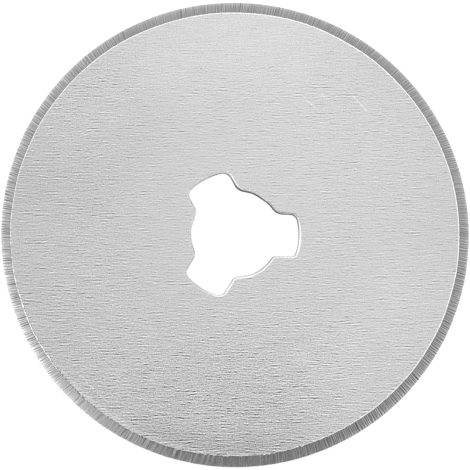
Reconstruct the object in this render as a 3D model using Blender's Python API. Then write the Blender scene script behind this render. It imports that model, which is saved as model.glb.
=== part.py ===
"""Circular knife: a thin disc of hardened steel strip, ground on both sides to one keen edge all round,
with a three-lobed hub hole punched through its middle.

It is one piece. It lies flat with its back on z = 0 and its front face up, +Z along its axis and +X
through the middle of one lobe of the hole. All lengths are in metres and all angles in degrees.
"""

import math

import bmesh
import bpy

# The disc and its ground edge
BLADE_DIAMETER = 0.0450
BLADE_THICKNESS = 0.00030
EDGE_ANGLE = 18.0
SHOULDER_BREAK = 0.00010

# The hub hole: a round bore with lobes that reach out of it, sized at the back, where it is narrowest
BORE_DIAMETER = 0.00843
LOBE_COUNT = 3
LOBE_WIDTH = 0.00422
LOBE_DEPTH = 0.00190
LOBE_TIP_FILLET = 0.00072
LOBE_ROOT_FILLET = 0.00108

# The hole is punched from the back, so its wall opens by the die's clearance towards the front, where
# tumbling has rounded its edge over
DIE_CLEARANCE = 0.00006
ROLL_WIDTH = 0.00015
ROLL_DEPTH = 0.00006

# The fillets of a lobe take at most these shares of the wall between them, and the rounded edge at most
# this share of the root fillet, which it narrows
TIP_SHARE = 0.38
ROOT_SHARE = 0.60
ROLL_SHARE = 0.45

# Facets
RIM_SEGMENTS = 288
BORE_STEPS = 12
TIP_STEPS = 8
FILLET_STEPS = 6
ROLL_STEPS = 3

# Linear colour, roughness and metallic value of each finish
BRUSHED_FACE = ("brushed_face", (0.62, 0.62, 0.62), 0.34, 1.0)
GROUND_BEVEL = ("ground_bevel", (0.45, 0.45, 0.45), 0.30, 1.0)
PUNCHED_WALL = ("punched_wall", (0.12, 0.12, 0.12), 0.50, 1.0)
FACE, BEVEL, WALL = range(3)


def clear_scene():
    for item in list(bpy.data.objects):
        bpy.data.objects.remove(item, do_unlink=True)


def steel(name, colour, roughness, metallic):
    """A plain steel finish."""
    material = bpy.data.materials.new(name)
    material.use_nodes = True
    shader = material.node_tree.nodes["Principled BSDF"]
    shader.inputs["Base Color"].default_value = (*colour, 1.0)
    shader.inputs["Roughness"].default_value = roughness
    shader.inputs["Metallic"].default_value = metallic
    return material


def arc(centre, radius, start, end, steps):
    """Points along an arc, without its last one, where the next stretch of the outline begins."""
    turns = [start + (end - start) * i / steps for i in range(steps)]
    return [(centre[0] + radius * math.cos(a), centre[1] + radius * math.sin(a)) for a in turns]


def lobe_fillets():
    """The tip and root fillets of a lobe, each limited by the wall that it rounds."""
    tip = min(LOBE_TIP_FILLET, TIP_SHARE * min(LOBE_DEPTH, LOBE_WIDTH))
    root = min(LOBE_ROOT_FILLET, ROOT_SHARE * LOBE_DEPTH)
    return tip, root


def lobe_outline(grown):
    """One lobe that points along +X and the bore's arc up to the next, grown outwards by a distance."""
    tip_fillet, root_fillet = lobe_fillets()
    tip_fillet += grown
    root_fillet -= grown
    half = LOBE_WIDTH / 2 + grown
    bore = BORE_DIAMETER / 2 + grown
    tip = bore + LOBE_DEPTH
    tip_y = half - tip_fillet
    tip_x = math.sqrt((tip - tip_fillet) ** 2 - tip_y**2)
    root_y = half + root_fillet
    root_x = math.sqrt((bore + root_fillet) ** 2 - root_y**2)
    tip_turn = math.atan2(tip_y, tip_x)
    root_turn = math.atan2(root_y, root_x)
    quarter = math.pi / 2
    points = arc((root_x, -root_y), root_fillet, math.pi - root_turn, quarter, FILLET_STEPS)
    points.append((root_x, -half))
    points += arc((tip_x, -tip_y), tip_fillet, -quarter, -tip_turn, FILLET_STEPS)
    points += arc((0, 0), tip, -tip_turn, tip_turn, TIP_STEPS)
    points += arc((tip_x, tip_y), tip_fillet, tip_turn, quarter, FILLET_STEPS)
    points.append((tip_x, half))
    points += arc((root_x, root_y), root_fillet, -quarter, root_turn - math.pi, FILLET_STEPS)
    points += arc((0, 0), bore, root_turn, 2 * math.pi / LOBE_COUNT - root_turn, BORE_STEPS)
    return points


def hole_outline(grown):
    """The whole outline of the hub hole, once round from the first lobe."""
    points = []
    for lobe in range(LOBE_COUNT):
        turn = 2 * math.pi * lobe / LOBE_COUNT
        cos, sin = math.cos(turn), math.sin(turn)
        points += [(x * cos - y * sin, x * sin + y * cos) for x, y in lobe_outline(grown)]
    return points


def circle(radius):
    return arc((0, 0), radius, 0, 2 * math.pi, RIM_SEGMENTS)


def hole_sections():
    """Outline and height of each ring of the hole, from the back up the wall and over the rounded edge."""
    roll_width = min(ROLL_WIDTH, ROLL_SHARE * lobe_fillets()[1])
    sections = [(hole_outline(0), 0)]
    for step in range(ROLL_STEPS + 1):
        turn = math.pi / 2 * step / ROLL_STEPS
        grown = DIE_CLEARANCE + roll_width * (1 - math.cos(turn))
        sections.append((hole_outline(grown), BLADE_THICKNESS - ROLL_DEPTH * (1 - math.sin(turn))))
    return sections


def rim_sections():
    """Outline and height of each ring of the rim, from the front face over the edge to the back face."""
    slope = math.radians(EDGE_ANGLE / 2)
    bevel_width = BLADE_THICKNESS / 2 / math.tan(slope)
    shoulder = BLADE_DIAMETER / 2 - bevel_width
    half_break = SHOULDER_BREAK / 2
    face_ring = circle(shoulder - half_break)
    bevel_ring = circle(shoulder + half_break * math.cos(slope))
    drop = half_break * math.sin(slope)
    return [
        (face_ring, BLADE_THICKNESS),
        (bevel_ring, BLADE_THICKNESS - drop),
        (circle(BLADE_DIAMETER / 2), BLADE_THICKNESS / 2),
        (bevel_ring, drop),
        (face_ring, 0),
    ]


def add_rings(bm, sections):
    """One closed ring of vertices for each section."""
    return [[bm.verts.new((x, y, height)) for x, y in outline] for outline, height in sections]


def skin(bm, rings, slot):
    """Faces from each ring to the next."""
    for first, second in zip(rings, rings[1:]):
        for i in range(len(first)):
            j = (i + 1) % len(first)
            face = bm.faces.new((first[i], second[i], second[j], first[j]))
            face.material_index = slot
            face.smooth = True


def ring_edges(bm, ring):
    return [bm.edges.get((ring[i - 1], ring[i])) for i in range(len(ring))]


def fill_face(bm, hole_ring, rim_ring, normal):
    """A flat face between the hole and the rim."""
    edges = ring_edges(bm, hole_ring) + ring_edges(bm, rim_ring)
    made = bmesh.ops.triangle_fill(bm, edges=edges, use_beauty=True, normal=normal)
    for item in made["geom"]:
        if isinstance(item, bmesh.types.BMFace):
            item.material_index = FACE


def sharpen(bm, rings):
    """Keeps these rings crisp on the smooth-shaded solid."""
    for ring in rings:
        for edge in ring_edges(bm, ring):
            edge.smooth = False


def make_blade():
    bm = bmesh.new()
    hole = add_rings(bm, hole_sections())
    rim = add_rings(bm, rim_sections())
    skin(bm, hole, WALL)
    skin(bm, rim, BEVEL)
    fill_face(bm, hole[-1], rim[0], (0, 0, 1))
    fill_face(bm, hole[0], rim[-1], (0, 0, -1))
    bmesh.ops.recalc_face_normals(bm, faces=bm.faces)
    sharpen(bm, [hole[0], hole[-1], *rim])
    mesh = bpy.data.meshes.new("blade")
    bm.to_mesh(mesh)
    bm.free()
    for finish in (BRUSHED_FACE, GROUND_BEVEL, PUNCHED_WALL):
        mesh.materials.append(steel(*finish))
    blade = bpy.data.objects.new("blade", mesh)
    bpy.context.scene.collection.objects.link(blade)


clear_scene()
make_blade()
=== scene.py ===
"""Looks of the circular knife: a finely meshed blade with ground bevels, worn shoulders and a punched hole,
in brushed and ground steel, on a plain white floor under soft studio light."""

import math

import bpy
import numpy as np
from mathutils import Matrix, Vector


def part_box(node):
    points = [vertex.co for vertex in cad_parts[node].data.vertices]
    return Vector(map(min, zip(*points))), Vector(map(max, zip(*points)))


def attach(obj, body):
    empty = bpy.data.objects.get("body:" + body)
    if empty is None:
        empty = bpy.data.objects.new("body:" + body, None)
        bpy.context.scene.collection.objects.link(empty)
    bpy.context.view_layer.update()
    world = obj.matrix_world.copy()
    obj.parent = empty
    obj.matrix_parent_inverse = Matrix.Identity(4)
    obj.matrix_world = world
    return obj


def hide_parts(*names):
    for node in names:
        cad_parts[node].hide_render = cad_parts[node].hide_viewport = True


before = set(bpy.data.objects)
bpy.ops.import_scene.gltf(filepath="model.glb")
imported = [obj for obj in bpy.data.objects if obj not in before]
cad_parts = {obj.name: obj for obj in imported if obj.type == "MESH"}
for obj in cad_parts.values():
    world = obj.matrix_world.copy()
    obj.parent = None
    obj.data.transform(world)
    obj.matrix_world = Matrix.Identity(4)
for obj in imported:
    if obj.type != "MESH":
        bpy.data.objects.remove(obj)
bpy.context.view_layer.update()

# Sizes that the frame gives, in metres
LOW, HIGH = (Vector(corner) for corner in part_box("blade"))
RADIUS = (HIGH.x - LOW.x) / 2
THICKNESS = HIGH.z - LOW.z
MIDDLE = (LOW.z + HIGH.z) / 2

# The blade's own sizes, in metres and degrees. The bore, the die's clearance and the depth of the rounded
# edge are the solid's; the bevel and the rounded edge are a touch wider, as the photograph has them
BEVEL_SLOPE = 8.6
BORE_RADIUS = 0.004215
DIE_CLEARANCE = 0.00006
ROLL_WIDTH = 0.00017
ROLL_DEPTH = 0.00006

# The lobes differ a little from each other: depth of each, then the half width, tip fillet and root fillet
# of its clockwise side and of its other side
LOBES = [
    (0.00188, (0.00204, 0.00040, 0.00060), (0.00198, 0.00075, 0.00150)),
    (0.00176, (0.00221, 0.00090, 0.00120), (0.00215, 0.00072, 0.00090)),
    (0.00193, (0.00211, 0.00060, 0.00100), (0.00206, 0.00080, 0.00055)),
]

# Where the hole is worn or left full: azimuth, reach to both sides in degrees, and how far out
HOLE_BUMPS = [(38, 17, 0.00011), (80, 14, -0.00006), (163, 12, -0.00008), (281, 12, -0.00008)]

# Where its rounded edge is narrower or wider: azimuth, reach in degrees, and by what share
ROLL_STRETCHES = [(48, 70, -0.5), (114, 25, -0.3), (355, 30, 0.4)]

# The punch ran a little off centre in its die, so the hole's outline lies differently on the back and front
BACK_SHIFT = (-0.000027, 0.000024)
FRONT_SHIFT = (0.000022, 0.000033)

# Mesh resolution: steps round the blade, and rings on each part of its section
TURN_STEPS = 2160
WALL_RINGS = 3
ROLL_RINGS = 5
FLAT_RINGS = 2
BREAK_RINGS = 3
BEVEL_RINGS = 7

# The shoulder: the width of its worn break and where that is wider or narrower (azimuth, reach in degrees,
# share), how far its circle lies off the blade's axis on the front and how far it is from round, its swells
# (azimuth, reach, how far out), and its wander, slow and jagged, with the stretch where it is more jagged
BREAK_WIDTH = 0.00008
BREAK_STRETCHES = [(205, 32, 0.5), (250, 36, -0.3)]
OFF_AXIS = (-0.00002, 0.00004)
OVAL = 0.000055
SWELLS = [(250, 28, 0.00010), (300, 25, -0.00004), (62, 35, 0.000025)]
SLOW_WANDER = 0.000012
SLOW_WAVES = range(2, 30)
JAG = 0.000006
JAG_STRETCHES = [(270, 45, 0.000024)]
JAG_WAVES = range(60, 340, 5)

# Grinding lines of the bevel: their number, depth and lean in degrees, the range of their middles and of
# their lengths in widths of the bevel, where they are shallower, and the hollow of the bevel
GRIND_LINES = 2400
GRIND_DEPTH = 0.0000012
GRIND_LEAN = 5.5
GRIND_MIDDLES = (-0.1, 1.1)
GRIND_LENGTHS = (0.5, 2.5)
GRIND_STRETCHES = [(245, 50, -0.5)]
HOLLOW_DEPTH = 0.000004

# The edge: the depth of its nicks, how strong they are everywhere and where they are stronger, and where it
# is worn back, low on the right
EDGE_NICKS = 0.00003
NICK_LEAST = 0.3
NICK_STRETCHES = [(190, 70, 0.8), (350, 50, 0.6), (240, 35, 0.7)]
NICK_WAVES = range(150, 700, 11)
EDGE_WEAR = [(293, 38, -0.000035)]

# Seeds of the random numbers of each side
FRONT_SEED = 11
BACK_SEED = 31

# The photograph's frame: its side in pixels, and the centre and radius of the blade's outline in it. The
# camera: lens and sensor in millimetres, how far it stands off the blade's axis, towards which azimuth and
# how far it is rolled, in degrees, and the nearest and furthest that it sees
PHOTO_SIDE = 470
PHOTO_CENTRE = (234.5, 234.6)
PHOTO_RADIUS = 234.1
CAMERA_LENS = 450.0
CAMERA_SENSOR = 36.0
CAMERA_TILT = 7.4
CAMERA_TURN = 255.0
CAMERA_ROLL = 1.5
CAMERA_CLIP = (0.001, 10.0)

# Scratches on the face: both ends as pixels of the photograph, and how bright each is, or how dark below 0
SCRATCHES = [
    ((351, 92), (368, 112), 0.62),
    ((302, 95), (317, 109), 0.50),
    ((317, 88), (330, 102), 0.32),
    ((76, 374), (106, 403), 0.75),
    ((250, 30), (262, 17), -0.30),
    ((325, 56), (343, 39), -0.35),
]
SCRATCH_WIDTH = 0.00006

# Painted light and shade on the face, slightly lighter and darker parts where the light falls differently:
# azimuth, outer and inner reach in degrees, the radii over which each comes in, and how much lighter it is
PAINTED_FACE_PATCHES = [
    (266, 27, 8, 0.0185, 0.0208, -0.12),
    (265, 35, 10, 0.0060, 0.0180, -0.04),
    (325, 38, 10, 0.0100, 0.0170, 0.06),
    (112, 60, 20, 0.0110, 0.0190, 0.075),
    (250, 36, 22, 0.02095, 0.02115, 0.10),
    (148, 34, 14, 0.0090, 0.0150, -0.045),
]

# Finish of each surface: its colour, how far its lines tell in the colour and as relief, and its roughness,
# and for the lines of the face and the bevel their pitch in metres and their anisotropy
LINE_PITCH = 0.0001
LINE_ANISOTROPY = 0.5
FACE_COLOUR = 0.583
FACE_MOTTLE = 0.6
FACE_BUMP = 0.000006
FACE_ROUGHNESS = 0.32
BEVEL_COLOUR = 0.45
BEVEL_MOTTLE = 0.7
BEVEL_BUMP = 0.000010
BEVEL_ROUGHNESS = 0.24
# The shoulder's near-white colour is a painted highlight
SHOULDER_HIGHLIGHT_COLOUR = 0.95
SHOULDER_ROUGHNESS = 0.15
# The lip's near-white colour is a painted highlight, and its seam a painted shade
LIP_HIGHLIGHT_COLOUR = 0.97
LIP_ROUGHNESS = 0.25
LIP_SHADE_SEAM_WIDTH = 0.00006
WALL_COLOUR = 0.5
WALL_ROUGHNESS = 0.5

# Noises of the finishes: detail, features to the millimetre along X, Y and Z, and where in it each starts
NOISES = {
    "sway": (1, (0.3, 0.3, 0), (0, 0, 0)),
    "long strokes": (0, (0.8, 7.0, 0), (3, 5, 0)),
    "short strokes": (0, (3.0, 7.0, 0), (13, 7, 0)),
    "specks": (0, (9.0, 9.0, 0), (31, 17, 0)),
    "smears": (2, (0.4, 2.0, 0), (41, 23, 0)),
    "pits": (0, (6.0, 6.0, 0), (7, 91, 0)),
    "fine lines": (0, (11.0, 11.0, 0.5), (0, 0, 0)),
    "broad lines": (0, (3.0, 3.0, 0.5), (5, 9, 2)),
    "cuts": (0, (12.0, 12.0, 0.4), (77, 19, 3)),
    "breaks": (1, (5.0, 5.0, 0), (0, 0, 0)),
    "ticks": (1, (4.0, 4.0, 0), (3, 61, 0)),
    "lip mottle": (2, (3.0, 3.0, 6.0), (0, 0, 0)),
    "wall mottle": (2, (1.0, 1.0, 4.0), (0, 0, 0)),
}
MM_PER_METRE = 1000

# How strong the bevel's lines are, how much brighter it gets outwards, which is painted shading, and where
# these two and the colour of the hole's wall, which is painted shade, differ: azimuth, outer and inner reach
# in degrees, and how much
LINE_STRENGTH = 1.2
LINE_STRETCHES = [
    (168, 55, 20, 0.65),
    (330, 42, 14, 0.85),
    (272, 28, 10, -0.45),
    (246, 32, 12, -0.7),
    (128, 28, 12, -0.4),
]
BEVEL_PAINTED_RISE = 0.25
PAINTED_RISE_STRETCHES = [(265, 55, 30, -0.25), (88, 50, 20, -0.10), (212, 27, 12, 0.16)]
WALL_PAINTED_SHADE = [(62, 70, 24, -0.46), (305, 45, 25, -0.34), (101, 12, 4, 0.20), (116, 14, 8, -0.25)]

# The floor: how far it reaches to each side in metres, its finish and how strongly it glows where it is seen
FLOOR_REACH = 2.0
FLOOR_COLOUR = 0.8
FLOOR_ROUGHNESS = 0.9
FLOOR_GLOW = 0.5

# Light: the dome's level and its patches (azimuth, degrees off straight up, outer and inner radius, height),
# and the lamps (name, azimuth, degrees off straight up, distance, size, radiance)
DOME_LEVEL = 0.80
DOME_PATCHES = [
    (0, 0, 50, 35, -0.44),
    (30, 12, 12, 0, 1.13),
    (90, 12, 12, 0, 0.10),
    (210, 12, 12, 0, 1.10),
    (270, 12, 12, 0, -0.40),
    (330, 12, 12, 0, 0.20),
    (90, 24, 15, 0, 0.54),
    (135, 24, 15, 0, -0.02),
    (180, 24, 15, 0, 0.85),
    (0, 42, 24, 4, 1.10),
    (60, 42, 24, 4, 0.40),
    (124, 11.5, 6, 1, 0.85),
    (102, 14, 6, 1, 0.80),
    (160, 11, 7, 1, 0.35),
    (151, 39, 22, 9, 0.90),
    (240, 65, 35, 10, -0.30),
]
LAMPS = [
    ("key_lamp", 70, 12, 0.30, 0.05, 1.83),
]

WHITE = (1, 1, 1, 1)

# The blade's finishes, in the order of its material slots, and the angles of the steps round it
FACE, SHOULDER, BEVEL, LIP, WALL = range(5)
ANGLES = np.linspace(0, 2 * math.pi, TURN_STEPS, endpoint=False)


def lobe_side(turn, grown, depth, half, tip_fillet, root_fillet):
    """Distance from the axis to the outline of one side of a lobe, at each angle from the lobe's middle."""
    bore = BORE_RADIUS + grown
    tip = bore + depth
    half += grown
    tip_fillet += grown
    root_fillet -= grown
    tip_y = half - tip_fillet
    tip_x = math.sqrt((tip - tip_fillet) ** 2 - tip_y**2)
    root_y = half + root_fillet
    root_x = math.sqrt((bore + root_fillet) ** 2 - root_y**2)

    def on_circle(x, y, radius, side):
        along = x * np.cos(turn) + y * np.sin(turn)
        away = y * np.cos(turn) - x * np.sin(turn)
        return along + side * np.sqrt(np.maximum(radius**2 - away**2, 0))

    return np.select(
        [
            turn < math.atan2(tip_y, tip_x),
            turn < math.atan2(half, tip_x),
            turn < math.atan2(half, root_x),
            turn < math.atan2(root_y, root_x),
        ],
        [
            np.full_like(turn, tip),
            on_circle(tip_x, tip_y, tip_fillet, 1),
            half / np.maximum(np.sin(turn), 1e-6),
            on_circle(root_x, root_y, root_fillet, -1),
        ],
        default=bore,
    )


def hole_radius(grown):
    """Distance from the axis to the hole's outline, grown outwards by a distance, at each angle."""
    pitch = 2 * math.pi / len(LOBES)
    lobe, turn = np.divmod((ANGLES + pitch / 2) % (2 * math.pi), pitch)
    turn -= pitch / 2
    radius = np.zeros(TURN_STEPS)
    for k, (depth, clockwise, other) in enumerate(LOBES):
        for side, here in ((clockwise, turn < 0), (other, turn >= 0)):
            mask = (lobe == k) & here
            radius[mask] = lobe_side(np.abs(turn[mask]), grown, depth, *side)
    return radius + uneven(0, HOLE_BUMPS)


def wander(random, waves):
    """A smooth closed wander round the blade, about 1 high, out of waves of so many periods to the turn."""
    total = np.zeros(TURN_STEPS)
    for wave in waves:
        total += random.normal() * np.cos(wave * ANGLES + random.uniform(0, 2 * math.pi))
    return total / total.std()


def near(azimuth, reach):
    """1 at an azimuth in degrees, falling smoothly to 0 at so many degrees to both sides of it."""
    away = np.abs((np.degrees(ANGLES) - azimuth + 180) % 360 - 180)
    return 0.5 + 0.5 * np.cos(math.pi * np.minimum(away / reach, 1))


def uneven(start, stretches):
    """A start value plus the height of each stretch round the blade: azimuth, reach in degrees, height."""
    for azimuth, reach, height in stretches:
        start = start + height * near(azimuth, reach)
    return start


def grinding(random):
    """Depth of the grinding lines on one bevel: one row for each ring from the shoulder to the edge."""
    depth = np.zeros((BEVEL_RINGS + 1, TURN_STEPS))
    rows = np.linspace(0, 1, BEVEL_RINGS + 1)[:, None]
    for _ in range(GRIND_LINES):
        place = random.integers(TURN_STEPS)
        reach = random.integers(1, 3)
        middle, length = random.uniform(*GRIND_MIDDLES), random.uniform(*GRIND_LENGTHS)
        cut = random.standard_t(4)
        steps = np.arange(-reach, reach + 1)
        across = 0.5 + 0.5 * np.cos(math.pi * steps / (reach + 1))
        along = np.clip(1.4 - 2 * np.abs(rows - middle) / length, 0, 1)
        depth[:, (place + steps) % TURN_STEPS] += cut * along * across
    return depth / depth.std() * GRIND_DEPTH * uneven(1, GRIND_STRETCHES)


def side_rings(random, off_axis):
    """The rings of one side from the shoulder out to the edge: radius, depth below the face, finish and how
    far each lies across the bevel."""
    slope = math.radians(BEVEL_SLOPE)
    shoulder = RADIUS - THICKNESS / 2 / math.tan(slope) + OVAL * np.cos(2 * ANGLES)
    shoulder = shoulder + off_axis[0] * np.cos(ANGLES) + off_axis[1] * np.sin(ANGLES)
    shoulder = shoulder + SLOW_WANDER * wander(random, SLOW_WAVES)
    shoulder = shoulder + uneven(0, SWELLS)
    shoulder = shoulder + uneven(JAG, JAG_STRETCHES) * wander(random, JAG_WAVES)
    width = BREAK_WIDTH * uneven(1, BREAK_STRETCHES)
    curve = width / slope
    rings = []
    for ring in range(BREAK_RINGS + 1):
        angle = slope * ring / BREAK_RINGS
        radius = shoulder + curve * math.sin(angle) - width / 2
        depth = curve * (1 - math.cos(angle))
        rings.append((radius, depth, SHOULDER, radius - shoulder))
    start_radius, start_depth = rings[-1][:2]
    edge = RADIUS - EDGE_NICKS * np.abs(wander(random, NICK_WAVES)) * uneven(NICK_LEAST, NICK_STRETCHES)
    edge = uneven(edge, EDGE_WEAR)
    cuts = grinding(random)
    for ring in range(1, BEVEL_RINGS + 1):
        share = ring / BEVEL_RINGS
        radius = start_radius + (edge - start_radius) * share
        depth = start_depth + (THICKNESS / 2 - start_depth) * share
        if ring < BEVEL_RINGS:
            depth = depth + HOLLOW_DEPTH * 4 * share * (1 - share) + cuts[ring]
        rings.append((radius, depth, BEVEL, radius - shoulder))
    return rings


def blade_rings():
    """Every ring of the closed skin: radius, height, the finish up to the next ring, the place across the
    bevel, and its shift. They run up the hole, out over the front, round the edge and back in under the
    back."""
    flat = np.zeros(TURN_STEPS)
    still = np.zeros(2)
    back_shift, front_shift = np.array(BACK_SHIFT), np.array(FRONT_SHIFT)
    rings = []
    for ring in range(WALL_RINGS):
        share = ring / WALL_RINGS
        height = LOW.z + (THICKNESS - ROLL_DEPTH) * share
        shift = back_shift + (front_shift - back_shift) * share
        rings.append((hole_radius(DIE_CLEARANCE * share), flat + height, WALL, flat, shift))
    wall = hole_radius(DIE_CLEARANCE)
    worn = uneven(1, ROLL_STRETCHES)
    for ring in range(ROLL_RINGS):
        angle = math.pi / 2 * ring / ROLL_RINGS
        width = ROLL_WIDTH * (1 - math.cos(angle))
        height = HIGH.z - ROLL_DEPTH * (1 - math.sin(angle))
        radius = wall + (hole_radius(DIE_CLEARANCE + width) - wall) * worn
        rings.append((radius, flat + height, LIP, (width - ROLL_WIDTH) * worn, front_shift))
    front = side_rings(np.random.default_rng(FRONT_SEED), OFF_AXIS)
    back = side_rings(np.random.default_rng(BACK_SEED), [-way for way in OFF_AXIS])
    lip = wall + (hole_radius(DIE_CLEARANCE + ROLL_WIDTH) - wall) * worn
    for ring in range(FLAT_RINGS):
        share = ring / FLAT_RINGS
        radius = lip + (front[0][0] - lip) * share
        rings.append((radius, flat + HIGH.z, FACE, flat, front_shift * (1 - share)))
    for k, (radius, depth, _, across) in enumerate(front[:-1]):
        rings.append((radius, HIGH.z - depth, front[k + 1][2], across, still))
    edge = front[-1]
    rings.append((edge[0], flat + MIDDLE, BEVEL, edge[3], still))
    for radius, depth, finish, across in back[-2::-1]:
        rings.append((radius, LOW.z + depth, finish, across, still))
    radius, depth, _, across = back[0]
    rings[-1] = (radius, LOW.z + depth, FACE, across, still)
    inner = hole_radius(0)
    rings.append((inner + (radius - inner) / FLAT_RINGS, flat + LOW.z, FACE, flat, back_shift / FLAT_RINGS))
    return rings


def blade_mesh():
    rings = blade_rings()
    radius, height, finish, across = (np.array([ring[k] for ring in rings]) for k in range(4))
    lean = -math.tan(math.radians(GRIND_LEAN)) * np.maximum(across, 0) / RADIUS
    angle = ANGLES + lean
    shift = np.array([ring[4] for ring in rings])
    points = np.stack([radius * np.cos(angle), radius * np.sin(angle), height], axis=2)
    points[:, :, :2] += shift[:, None]
    groove = np.stack(
        [RADIUS * np.cos(ANGLES) + 0 * across, RADIUS * np.sin(ANGLES) + 0 * across, across], axis=2
    )
    ring = np.arange(len(rings))[:, None] + 0 * np.arange(TURN_STEPS)
    step = np.arange(TURN_STEPS) + 0 * ring
    after, beside = (ring + 1) % len(rings), (step + 1) % TURN_STEPS
    corners = [ring * TURN_STEPS + step, after * TURN_STEPS + step]
    corners += [after * TURN_STEPS + beside, ring * TURN_STEPS + beside]
    faces = np.stack(corners, axis=2).reshape(-1, 4)
    mesh = bpy.data.meshes.new("blade_steel")
    mesh.from_pydata(points.reshape(-1, 3).tolist(), [], faces.tolist())
    mesh.polygons.foreach_set("material_index", np.repeat(finish, TURN_STEPS))
    mesh.polygons.foreach_set("use_smooth", np.ones(len(faces), bool))
    mesh.attributes.new("groove", "FLOAT_VECTOR", "POINT").data.foreach_set("vector", groove.ravel())
    mark_sharp(mesh, finish)
    mesh.update()
    return mesh


def mark_sharp(mesh, finish):
    """Keeps the rings crisp where one finish meets another, but for the worn shoulder, which is round."""
    before = np.roll(finish, 1)
    changes = (finish != before) & (finish != SHOULDER) & (before != SHOULDER)
    crisp = set(np.flatnonzero(changes))
    crisp.add(int(np.flatnonzero(finish == BEVEL)[BEVEL_RINGS]))
    ends = np.empty(len(mesh.edges) * 2, np.int32)
    mesh.edges.foreach_get("vertices", ends)
    rings = ends.reshape(-1, 2) // TURN_STEPS
    sharp = (rings[:, 0] == rings[:, 1]) & np.isin(rings[:, 0], list(crisp))
    mesh.attributes.new("sharp_edge", "BOOLEAN", "EDGE").data.foreach_set("value", sharp)


def new_material(name):
    material = bpy.data.materials.new(name)
    material.use_nodes = True
    tree = material.node_tree
    shader = tree.nodes["Principled BSDF"]
    shader.inputs["Metallic"].default_value = 1.0
    return material, tree, shader


def plug(tree, socket, value):
    """Links a socket to an output, or sets it to a plain value."""
    if isinstance(value, bpy.types.NodeSocket):
        tree.links.new(value, socket)
    else:
        socket.default_value = value


def calc(tree, operation, *values):
    node = tree.nodes.new("ShaderNodeMath")
    node.operation = operation
    for socket, value in zip(node.inputs, values):
        plug(tree, socket, value)
    return node.outputs[0]


def mixed_sum(tree, start, *terms):
    """A start value plus each (value, weight) of the terms."""
    for value, weight in terms:
        start = calc(tree, "MULTIPLY_ADD", value, weight, start)
    return start


def product(tree, first, *others):
    for other in others:
        first = calc(tree, "MULTIPLY", first, other)
    return first


def vector(tree, operation, *values):
    node = tree.nodes.new("ShaderNodeVectorMath")
    node.operation = operation
    for socket, value in zip(node.inputs, values):
        plug(tree, socket, value)
    return node.outputs["Value"] if operation in ("DOT_PRODUCT", "LENGTH") else node.outputs["Vector"]


def parts(tree, place):
    """The X, Y and Z parts of a place."""
    node = tree.nodes.new("ShaderNodeSeparateXYZ")
    plug(tree, node.inputs[0], place)
    return node.outputs["X"], node.outputs["Y"], node.outputs["Z"]


def along_y(tree, length):
    node = tree.nodes.new("ShaderNodeCombineXYZ")
    plug(tree, node.inputs["Y"], length)
    return node.outputs[0]


def noise(tree, place, name):
    """One of the noises at a place, as far above or below 0."""
    detail, per_mm, start = NOISES[name]
    texture = tree.nodes.new("ShaderNodeTexNoise")
    texture.inputs["Scale"].default_value = 1.0
    texture.inputs["Detail"].default_value = detail
    scaled = vector(tree, "MULTIPLY_ADD", place, [MM_PER_METRE * k for k in per_mm], start)
    plug(tree, texture.inputs["Vector"], scaled)
    return calc(tree, "SUBTRACT", texture.outputs["Fac"], 0.5)


def crisp_noise(tree, places, name):
    """Noise at the middle one of three places less that at its neighbours, so that fine lines stand out."""
    before, line, after = (noise(tree, place, name) for place in places)
    return mixed_sum(tree, line, (before, -0.5), (after, -0.5))


def ramp(tree, value, low, high, to_low=0.0, to_high=1.0):
    node = tree.nodes.new("ShaderNodeMapRange")
    node.interpolation_type = "SMOOTHSTEP"
    plug(tree, node.inputs["Value"], value)
    for name, number in (("From Min", low), ("From Max", high), ("To Min", to_low), ("To Max", to_high)):
        plug(tree, node.inputs[name], number)
    return node.outputs["Result"]


def grey(tree, level):
    node = tree.nodes.new("ShaderNodeCombineColor")
    for socket in node.inputs:
        plug(tree, socket, level)
    return node.outputs[0]


def bump(tree, height, distance, shader):
    node = tree.nodes.new("ShaderNodeBump")
    node.inputs["Distance"].default_value = distance
    plug(tree, node.inputs["Height"], height)
    plug(tree, shader.inputs["Normal"], node.outputs[0])


def object_place(tree):
    return tree.nodes.new("ShaderNodeTexCoord").outputs["Object"]


def turned(tree, place, angle):
    """A place turned about the blade's axis by an angle in radians."""
    node = tree.nodes.new("ShaderNodeVectorRotate")
    node.rotation_type = "Z_AXIS"
    node.inputs["Angle"].default_value = angle
    plug(tree, node.inputs["Vector"], place)
    return node.outputs[0]


def facing(tree, azimuth, outer, inner):
    """1 within so many degrees of an azimuth round the blade, smoothly down to 0 further out."""
    place = vector(tree, "NORMALIZE", vector(tree, "MULTIPLY", object_place(tree), (1, 1, 0)))
    turn = math.radians(azimuth)
    towards = vector(tree, "DOT_PRODUCT", place, (math.cos(turn), math.sin(turn), 0))
    return ramp(tree, towards, math.cos(math.radians(outer)), math.cos(math.radians(inner)))


def mixed_stretches(tree, start, stretches):
    """A start value plus each stretch round the blade: azimuth, outer and inner reach in degrees, height."""
    for azimuth, outer, inner, height in stretches:
        start = mixed_sum(tree, start, (facing(tree, azimuth, outer, inner), height))
    return start


def photo_place(pixel):
    """The place on the blade that a pixel of the photograph shows, with the photograph's own X and Y."""
    x, y = pixel[0] - PHOTO_CENTRE[0], PHOTO_CENTRE[1] - pixel[1]
    return Vector((x, y, 0)) * RADIUS / PHOTO_RADIUS


def scratch(tree, place, specks, start, end):
    """1 along a thin broken line between two pixels of the photograph."""
    start, end = photo_place(start), photo_place(end)
    way = (end - start).normalized()
    away = vector(tree, "SUBTRACT", place, (start + end) / 2)
    along = calc(tree, "ABSOLUTE", vector(tree, "DOT_PRODUCT", away, way))
    aside = calc(tree, "ABSOLUTE", vector(tree, "DOT_PRODUCT", away, (-way.y, way.x, 0)))
    half = (end - start).length / 2
    line = product(tree, ramp(tree, aside, SCRATCH_WIDTH, 0), ramp(tree, along, half, half * 0.7))
    return product(tree, line, ramp(tree, specks, -0.10, 0.08, 0.2, 1.0))


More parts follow.
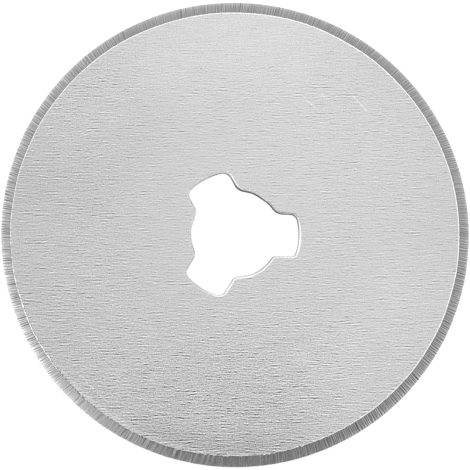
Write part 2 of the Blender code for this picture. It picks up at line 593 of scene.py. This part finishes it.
def grain_strength(tree, x, y):
    """How strong the grain of the face is: stronger low down, more so in the middle and on the left, and a
    little stronger at the very top and out to the sides."""
    base = ramp(tree, y, 0.016, 0.010, 0.68, 0.55)
    low = product(tree, ramp(tree, y, -0.001, -0.017), ramp(tree, x, 0.004, 0.013, 0.87, 0.44))
    left, aside = ramp(tree, x, -0.006, -0.015), ramp(tree, calc(tree, "ABSOLUTE", x), 0.004, 0.012)
    sides = product(tree, mixed_sum(tree, 0.0, (left, 0.29), (aside, 0.1)), ramp(tree, y, -0.012, -0.004))
    return mixed_sum(tree, base, (low, 1.0), (sides, 1.0))


def brushed_steel():
    """Flat faces: fine straight grain with longer dark strokes, bright hairlines, pits and scratches."""
    material, tree, shader = new_material("brushed_face")
    place = turned(tree, object_place(tree), -math.radians(CAMERA_ROLL))
    x, y, _ = parts(tree, place)
    coarse = grain_strength(tree, x, y)
    drift = mixed_sum(tree, 0.00008, (ramp(tree, y, -0.008, -0.020), 0.0002))
    sway = product(tree, noise(tree, place, "sway"), drift)
    place = vector(tree, "ADD", place, along_y(tree, sway))
    places = [vector(tree, "ADD", place, (0, side * LINE_PITCH, 0)) for side in (-1, 0, 1)]
    lines = crisp_noise(tree, places, "long strokes")
    lines = mixed_sum(tree, lines, (crisp_noise(tree, places, "short strokes"), 0.8))
    lines = product(tree, lines, ramp(tree, y, 0.020, 0.013, 0.6, 1.0))
    dark, light = ramp(tree, lines, -0.25, -0.70), ramp(tree, lines, 0.25, 0.65)
    specks = noise(tree, place, "specks")
    lines = mixed_sum(tree, lines, (specks, 1.3), (noise(tree, place, "smears"), 0.3))
    bump(tree, product(tree, lines, coarse), FACE_BUMP, shader)
    pits = ramp(tree, noise(tree, place, "pits"), 0.24, 0.34)
    pits = product(tree, pits, ramp(tree, y, 0.010, 0.016, 1.0, 2.2))
    tone = mixed_sum(tree, 0.0, (lines, FACE_MOTTLE), (dark, -0.4), (light, 0.38), (pits, -0.25))
    tone = product(tree, tone, coarse)
    for start, end, strength in SCRATCHES:
        tone = mixed_sum(tree, tone, (scratch(tree, place, specks, start, end), strength))
    out = vector(tree, "LENGTH", place)
    # Painted light and shade: patches of the face made lighter or darker where the light falls differently
    for azimuth, outer, inner, start, end, strength in PAINTED_FACE_PATCHES:
        patch = product(tree, facing(tree, azimuth, outer, inner), ramp(tree, out, start, end))
        tone = mixed_sum(tree, tone, (patch, strength))
    level = mixed_sum(tree, FACE_COLOUR, (tone, FACE_COLOUR))
    plug(tree, shader.inputs["Base Color"], grey(tree, level))
    plug(tree, shader.inputs["Roughness"], mixed_sum(tree, FACE_ROUGHNESS, (dark, 0.08)))
    shader.inputs["Anisotropic"].default_value = LINE_ANISOTROPY
    plug(tree, shader.inputs["Tangent"], along_y(tree, 1.0))
    return material


def groove_place(tree):
    """The place on the rim as the mesh gives it: constant along a grinding line but for its third part, the
    distance across the bevel."""
    node = tree.nodes.new("ShaderNodeAttribute")
    node.attribute_name = "groove"
    place = node.outputs["Vector"]
    return place, parts(tree, place)[2]


def bevel_painted_shade(tree, across, broad):
    """Painted shade and highlight across the bevel's width: painted shade at the shoulder but for one
    stretch, with short painted shadows there on another, and painted light rising outwards, most as a
    highlight at the keen edge."""
    # Painted light and shade: a highlight along the keen edge except low down, brighter outwards, darker at
    # the shoulder
    keen = product(tree, ramp(tree, across, 0.00065, 0.00095), ramp(tree, facing(tree, 265, 40, 20), 1, 0))
    painted_rise = mixed_stretches(tree, BEVEL_PAINTED_RISE, PAINTED_RISE_STRETCHES)
    painted_rise = product(tree, ramp(tree, across, 0.0001, 0.0010), painted_rise)
    outward = mixed_sum(tree, 0.95, (painted_rise, 1.0), (keen, 0.25), (facing(tree, 85, 55, 25), -0.06))
    dashes = product(tree, facing(tree, 243, 30, 20), ramp(tree, broad, -0.08, 0.04))
    dashes = product(tree, dashes, ramp(tree, across, 0.00010, 0.00003))
    shade = ramp(tree, facing(tree, 216, 32, 12), 0, 1, -0.3, 0.03)
    shade = product(tree, ramp(tree, across, 0.00014, 0.00003), shade)
    seam = mixed_sum(tree, 1.0, (shade, 1.0), (dashes, -0.4))
    return product(tree, outward, seam)


def ground_steel():
    """Bevels: fine lines left by the grinding wheel, with single dark and light cuts, and a painted
    highlight on its lines at the edge on the left."""
    material, tree, shader = new_material("ground_bevel")
    place, across = groove_place(tree)
    places = [turned(tree, place, side * LINE_PITCH / RADIUS) for side in (-1, 0, 1)]
    fine = crisp_noise(tree, places, "fine lines")
    broad = noise(tree, place, "broad lines")
    lines = mixed_sum(tree, fine, (broad, 0.3), (ramp(tree, broad, 0.08, 0.25), -0.2))
    lines = product(tree, lines, mixed_stretches(tree, LINE_STRENGTH, LINE_STRETCHES))
    cuts = noise(tree, place, "cuts")
    dark_cuts, light_cuts = ramp(tree, cuts, -0.18, -0.26), ramp(tree, cuts, 0.20, 0.28)
    lines = mixed_sum(tree, lines, (dark_cuts, -0.45), (light_cuts, 0.35))
    bump(tree, lines, BEVEL_BUMP, shader)
    tone = mixed_sum(tree, 1.0, (lines, BEVEL_MOTTLE))
    # The bevel's colour times its painted shade and highlight across its width
    level = product(tree, product(tree, tone, BEVEL_COLOUR), bevel_painted_shade(tree, across, broad))
    # Painted highlight: the lines near the edge made brighter on the left
    painted_feather_glint = product(tree, ramp(tree, across, 0.0005, 0.0009), ramp(tree, fine, -0.1, 0.3))
    painted_feather_glint = product(tree, painted_feather_glint, facing(tree, 182, 50, 20))
    level = mixed_sum(tree, level, (painted_feather_glint, 0.22))
    plug(tree, shader.inputs["Base Color"], grey(tree, level))
    shader.inputs["Roughness"].default_value = BEVEL_ROUGHNESS
    shader.inputs["Anisotropic"].default_value = LINE_ANISOTROPY
    tangent = tree.nodes.new("ShaderNodeTangent")
    tangent.direction_type = "RADIAL"
    tangent.axis = "Z"
    plug(tree, shader.inputs["Tangent"], tangent.outputs[0])
    return material


def worn_steel_painted_light():
    """The shoulder's worn break: near white as a painted highlight, dimmed on one stretch, with a line of
    painted shade along its inner side that is broken into ticks on the next, and painted shade along one
    side or the other on two more."""
    material, tree, shader = new_material("worn_shoulder_painted_light")
    place, across = groove_place(tree)
    breaks = noise(tree, place, "breaks")
    ticks = ramp(tree, noise(tree, place, "ticks"), 0.02, -0.06, 0.05, 1.0)
    # Painted shade on the break's painted highlight: dimmed on one stretch, dark ticks and lines along its
    # sides
    painted_dimming = product(tree, ramp(tree, breaks, 0.08, -0.08), facing(tree, 206, 34, 14))
    ticks = product(tree, ticks, facing(tree, 229, 38, 12))
    inner = product(tree, ramp(tree, across, 0.00001, -0.00002), ticks)
    outer = product(tree, ramp(tree, across, -0.00002, 0.00001), facing(tree, 244, 28, 20))
    seam = product(tree, ramp(tree, across, -0.00001, -0.00004), facing(tree, 150, 60, 30))
    level = mixed_sum(tree, SHOULDER_HIGHLIGHT_COLOUR, (breaks, 0.5), (facing(tree, 350, 60, 30), -0.12))
    level = mixed_sum(tree, level, (painted_dimming, -0.34), (inner, -0.90), (outer, -0.55), (seam, -0.40))
    plug(tree, shader.inputs["Base Color"], grey(tree, level))
    shader.inputs["Roughness"].default_value = SHOULDER_ROUGHNESS
    return material


def lip_steel_painted_light():
    """The rounded edge of the hole: near white as a painted highlight, with a painted shade seam where it
    meets the face on the right, and painted shade on its upper right and on its left.
    """
    material, tree, shader = new_material("rolled_lip_painted_light")
    _, across = groove_place(tree)
    mottle = noise(tree, object_place(tree), "lip mottle")
    # Painted shade: a dark seam where the lip meets the face, and darker on the upper right and the left
    seam = product(tree, ramp(tree, across, -LIP_SHADE_SEAM_WIDTH, 0.0), facing(tree, 5, 50, 28))
    shade = product(tree, ramp(tree, across, -0.00007, -0.00010), facing(tree, 57, 42, 14))
    level = mixed_sum(tree, LIP_HIGHLIGHT_COLOUR, (mottle, 0.4), (shade, -0.75), (facing(tree, 190, 75, 45), -0.42))
    level = mixed_sum(tree, level, (seam, -0.80))
    plug(tree, shader.inputs["Base Color"], grey(tree, level))
    shader.inputs["Roughness"].default_value = LIP_ROUGHNESS
    return material


def punched_steel_painted_shade():
    """The wall of the hole: steel with a random mottle, and painted shade that makes it darker on some
    stretches, less so at one spot.
    """
    material, tree, shader = new_material("punched_wall")
    mottle = noise(tree, object_place(tree), "wall mottle")
    # Painted shade: the wall made darker on the stretches that face away from the light
    level = mixed_stretches(tree, WALL_COLOUR, WALL_PAINTED_SHADE)
    plug(tree, shader.inputs["Base Color"], grey(tree, mixed_sum(tree, level, (mottle, 0.15))))
    shader.inputs["Roughness"].default_value = WALL_ROUGHNESS
    return material


def make_blade():
    blade = bpy.data.objects.new("blade_steel", blade_mesh())
    bpy.context.scene.collection.objects.link(blade)
    finishes = (
        brushed_steel(),
        worn_steel_painted_light(),
        ground_steel(),
        lip_steel_painted_light(),
        punched_steel_painted_shade(),
    )
    for material in finishes:
        blade.data.materials.append(material)
    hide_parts("blade")
    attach(blade, "root")


def make_floor():
    """A plain white floor that shows white to the camera and in the steel, and keeps the blade's shadow."""
    corners = [(x * FLOOR_REACH, y * FLOOR_REACH, 0) for x, y in ((-1, -1), (1, -1), (1, 1), (-1, 1))]
    mesh = bpy.data.meshes.new("floor")
    mesh.from_pydata(corners, [], [(0, 1, 2, 3)])
    floor = bpy.data.objects.new("floor", mesh)
    floor.location.z = LOW.z
    bpy.context.scene.collection.objects.link(floor)
    material, tree, shader = new_material("white_floor")
    shader.inputs["Metallic"].default_value = 0.0
    shader.inputs["Base Color"].default_value = (FLOOR_COLOUR, FLOOR_COLOUR, FLOOR_COLOUR, 1)
    shader.inputs["Roughness"].default_value = FLOOR_ROUGHNESS
    shader.inputs["Specular IOR Level"].default_value = 0.0
    path = tree.nodes.new("ShaderNodeLightPath")
    seen = calc(tree, "MAXIMUM", path.outputs["Is Camera Ray"], path.outputs["Is Glossy Ray"])
    seen = calc(tree, "MAXIMUM", seen, path.outputs["Is Transmission Ray"])
    shader.inputs["Emission Color"].default_value = WHITE
    plug(tree, shader.inputs["Emission Strength"], calc(tree, "MULTIPLY", seen, FLOOR_GLOW))
    floor.data.materials.append(material)


def off_zenith(azimuth, degrees):
    """The direction so many degrees off straight up, towards an azimuth counted from +X towards +Y."""
    turn, tilt = math.radians(azimuth), math.radians(degrees)
    return Vector((math.sin(tilt) * math.cos(turn), math.sin(tilt) * math.sin(turn), math.cos(tilt)))


def make_world():
    """A soft dome of light with brighter and dimmer patches, which the camera itself sees as white."""
    world = bpy.data.worlds.new("studio")
    world.use_nodes = True
    bpy.context.scene.world = world
    tree = world.node_tree
    path = tree.nodes.new("ShaderNodeLightPath")
    direction = tree.nodes.new("ShaderNodeTexCoord").outputs["Generated"]
    level = DOME_LEVEL
    for azimuth, degrees, outer, inner, height in DOME_PATCHES:
        close = vector(tree, "DOT_PRODUCT", direction, off_zenith(azimuth, degrees))
        patch = ramp(tree, close, math.cos(math.radians(outer)), math.cos(math.radians(inner)), 0.0, height)
        level = calc(tree, "ADD", level, patch)
    shown = tree.nodes.new("ShaderNodeMix")
    plug(tree, shown.inputs["Factor"], path.outputs["Is Camera Ray"])
    plug(tree, shown.inputs["A"], level)
    shown.inputs["B"].default_value = 1.0
    plug(tree, tree.nodes["Background"].inputs["Strength"], shown.outputs["Result"])
    tree.nodes["Background"].inputs["Color"].default_value = WHITE


def make_lamps():
    for name, azimuth, degrees, distance, size, radiance in LAMPS:
        data = bpy.data.lights.new(name, "AREA")
        data.shape = "DISK"
        data.size = size
        data.energy = radiance * math.pi * math.pi * (size / 2) ** 2
        lamp = bpy.data.objects.new(name, data)
        towards = off_zenith(azimuth, degrees)
        lamp.location = towards * distance
        lamp.rotation_mode = "QUATERNION"
        lamp.rotation_quaternion = towards.to_track_quat("Z", "Y")
        bpy.context.scene.collection.objects.link(lamp)


def make_camera():
    """Looks down on the blade, a little off its axis, and frames it as the photograph does."""
    data = bpy.data.cameras.new("camera")
    data.lens = CAMERA_LENS
    data.sensor_width = CAMERA_SENSOR
    data.clip_start, data.clip_end = CAMERA_CLIP
    camera = bpy.data.objects.new("camera", data)
    bpy.context.scene.collection.objects.link(camera)
    pixel = RADIUS / PHOTO_RADIUS
    distance = PHOTO_SIDE * pixel * CAMERA_LENS / CAMERA_SENSOR
    back = off_zenith(CAMERA_TURN, CAMERA_TILT)
    up = back.cross(off_zenith(CAMERA_ROLL, 90)).normalized()
    right = up.cross(back)
    # Near things look larger, so the outline's centre lies towards the camera from the blade's own
    drift = off_zenith(CAMERA_TURN, 90) * RADIUS**2 * math.sin(math.radians(CAMERA_TILT)) / distance
    middle = (PHOTO_SIDE - 1) / 2
    aside = (right * (middle - PHOTO_CENTRE[0]) - up * (middle - PHOTO_CENTRE[1])) * pixel
    camera.location = Vector((0, 0, MIDDLE)) + drift + aside + back * distance
    camera.rotation_mode = "QUATERNION"
    camera.rotation_quaternion = Matrix((right, up, back)).transposed().to_quaternion()
    bpy.context.scene.camera = camera


make_camera()
make_blade()
make_floor()
make_world()
make_lamps()
bpy.context.scene.view_settings.view_transform = "Standard"
